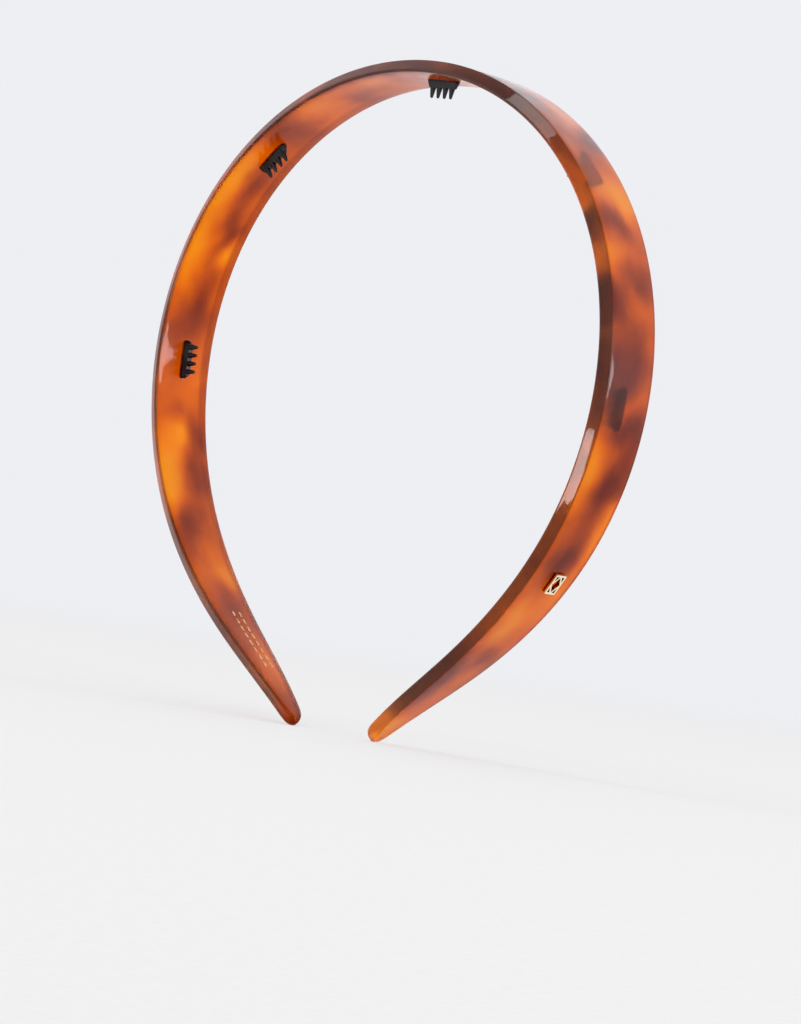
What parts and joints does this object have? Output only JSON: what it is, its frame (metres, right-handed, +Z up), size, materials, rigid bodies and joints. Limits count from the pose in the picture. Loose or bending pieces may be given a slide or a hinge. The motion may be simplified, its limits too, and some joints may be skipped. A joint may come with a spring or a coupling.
{
  "type": "headband",
  "caption": "Rigid tortoiseshell-pattern hair band, an open horseshoe that tapers to rounded tips, with small grip combs glued inside and a metal plaque.",
  "frame": {"origin": "on the floor under the crown, midway between the two tips and midway front to back", "axes": "+Z up from the tips to the crown, +X towards the arm that carries the plaque, +Y towards the back of the head"},
  "size_m": [0.1234, 0.0144, 0.1321],
  "materials": {
    "acetate": "polished tortoiseshell-pattern cellulose acetate, slightly translucent",
    "comb_plastic": "satin black moulded plastic",
    "adhesive": "clear cured adhesive, coloured by the band behind it",
    "plaque_metal": "polished pale gold plating",
    "foil": "worn pale gold hot foil"
  },
  "bodies": {
    "root": {"band": "acetate", "comb_crown": "comb_plastic", "comb_left": "comb_plastic", "comb_right": "comb_plastic", "comb_upper_left": "comb_plastic", "comb_upper_right": "comb_plastic", "foil_mark": "foil", "glue_crown": "adhesive", "glue_left": "adhesive", "glue_right": "adhesive", "glue_upper_left": "adhesive", "glue_upper_right": "adhesive", "plaque": "plaque_metal"}
  },
  "joints": []
}
